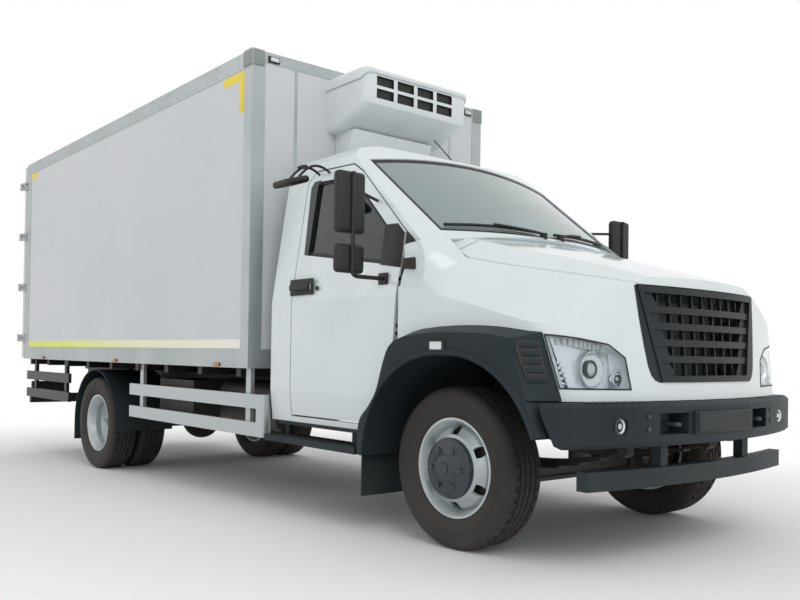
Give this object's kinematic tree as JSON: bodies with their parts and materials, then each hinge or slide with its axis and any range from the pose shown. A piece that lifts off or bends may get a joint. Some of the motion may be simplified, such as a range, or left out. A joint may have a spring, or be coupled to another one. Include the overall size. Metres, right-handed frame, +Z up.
{
  "type": "refrigerated truck",
  "caption": "Bonneted refrigerated truck with a hollow cab, hinged doors and bonnet, an insulated load box with rear doors, a cooling unit on its front wall and steered wheels.",
  "frame": {"origin": "on the ground at the middle of the truck's length and width", "axes": "+X forward, +Y to the truck's left, +Z up"},
  "size_m": [7.6914, 2.72, 3.199],
  "materials": {
    "white_paint": "gloss",
    "white_panel": "satin",
    "white_plastic": "gloss",
    "trim_aluminium": "satin",
    "portal_steel": "brushed",
    "dark_plastic": "matte",
    "grille_plastic": "gloss",
    "cabin_plastic": "matte",
    "black_steel": "satin",
    "cast_iron": "cast",
    "core_aluminium": "matte",
    "wheel_silver": "satin",
    "tyre": "matte",
    "glass": "clear",
    "lamp_glass": "clear",
    "amber_plastic": "gloss",
    "seat_fabric": "woven"
  },
  "bodies": {
    "chassis": {"ladder_frame": "black_steel", "front_axle": "black_steel", "leaf_springs": "black_steel", "rear_axle": "black_steel", "engine_block": "cast_iron", "propeller_shaft": "black_steel", "radiator": "core_aluminium", "tanks": "black_steel", "underrun_bar": "black_steel", "cab_floor": "black_steel", "cab_pillars": "white_paint", "cab_back_wall": "white_paint", "cab_roof": "white_paint", "windscreen": "glass", "cowl_panel": "white_paint", "front_wings": "white_paint", "headlamps": "lamp_glass", "grille": "grille_plastic", "bumper": "dark_plastic", "step_bar": "dark_plastic", "arch_flares": "dark_plastic", "side_steps": "dark_plastic", "dashboard": "cabin_plastic", "seats": "seat_fabric", "box_floor": "black_steel", "box_front_wall": "white_panel", "box_sides": "white_panel", "box_roof": "white_panel", "rear_portal": "portal_steel", "edge_trim": "trim_aluminium", "cooling_unit": "white_plastic", "cooling_core": "core_aluminium", "side_guards": "trim_aluminium", "rear_mudguards": "dark_plastic", "marker_lamps": "amber_plastic"},
    "door_right": {"door_right": "white_paint", "door_glass_right": "glass", "mirrors_right": "dark_plastic"},
    "door_left": {"door_left": "white_paint", "door_glass_left": "glass", "mirrors_left": "dark_plastic"},
    "bonnet": {"bonnet": "white_paint"},
    "rear_door_right": {"rear_door_right": "white_panel"},
    "rear_door_left": {"rear_door_left": "white_panel"},
    "knuckle_right": {"knuckle_right": "black_steel"},
    "knuckle_left": {"knuckle_left": "black_steel"},
    "tie_rod": {"tie_rod": "black_steel"},
    "front_wheel_right": {"front_rim_right": "wheel_silver", "front_tyre_right": "tyre"},
    "front_wheel_left": {"front_rim_left": "wheel_silver", "front_tyre_left": "tyre"},
    "rear_wheel_right": {"rear_rims_right": "wheel_silver", "rear_tyres_right": "tyre"},
    "rear_wheel_left": {"rear_rims_left": "wheel_silver", "rear_tyres_left": "tyre"}
  },
  "joints": [
    {"name": "steer_left", "type": "hinge", "parent": "chassis", "child": "knuckle_left", "pos_m": [2.89293, 0.78, 0.419], "axis": [0.0209, 0, 0.9998], "range_deg": [-35, 35]},
    {"name": "steer_right", "type": "hinge", "parent": "chassis", "child": "knuckle_right", "pos_m": [2.89293, -0.78, 0.419], "axis": [0.0209, 0, 0.9998], "range_deg": [-35, 35]},
    {"name": "tie_rod_pivot", "type": "hinge", "parent": "knuckle_left", "child": "tie_rod", "pos_m": [2.74047, 0.78, 0.30317], "axis": [0.0209, 0, 0.9998], "range_deg": [-35, 35]},
    {"name": "front_wheel_left_spin", "type": "hinge", "parent": "knuckle_left", "child": "front_wheel_left", "pos_m": [2.89293, 0.87, 0.419], "axis": [0, 1, 0], "continuous": true},
    {"name": "front_wheel_right_spin", "type": "hinge", "parent": "knuckle_right", "child": "front_wheel_right", "pos_m": [2.89293, -0.87, 0.419], "axis": [0, 1, 0], "continuous": true},
    {"name": "rear_wheel_left_spin", "type": "hinge", "parent": "chassis", "child": "rear_wheel_left", "pos_m": [-1.62306, 0.845, 0.419], "axis": [0, 1, 0], "continuous": true},
    {"name": "rear_wheel_right_spin", "type": "hinge", "parent": "chassis", "child": "rear_wheel_right", "pos_m": [-1.62306, -0.845, 0.419], "axis": [0, 1, 0], "continuous": true},
    {"name": "door_left_hinge", "type": "hinge", "parent": "chassis", "child": "door_left", "pos_m": [2.48085, 0.994, 1.27882], "axis": [-0.0209, 0, -0.9998], "range_deg": [0, 58]},
    {"name": "door_right_hinge", "type": "hinge", "parent": "chassis", "child": "door_right", "pos_m": [2.48085, -0.994, 1.27882], "axis": [0.0209, 0, 0.9998], "range_deg": [0, 58]},
    {"name": "bonnet_hinge", "type": "hinge", "parent": "chassis", "child": "bonnet", "pos_m": [2.71671, 0, 1.55594], "axis": [0, -1, 0], "range_deg": [0, 40]},
    {"name": "rear_door_left_hinge", "type": "hinge", "parent": "chassis", "child": "rear_door_left", "pos_m": [-3.81296, 1.145, 2.11781], "axis": [-0.0209, 0, -0.9998], "range_deg": [0, 270]},
    {"name": "rear_door_right_hinge", "type": "hinge", "parent": "chassis", "child": "rear_door_right", "pos_m": [-3.81296, -1.145, 2.11781], "axis": [0.0209, 0, 0.9998], "range_deg": [0, 270]}
  ],
  "couplings": [
    {"joint": "steer_right", "follows": "steer_left", "ratio": 1},
    {"joint": "tie_rod_pivot", "follows": "steer_left", "ratio": -1}
  ]
}
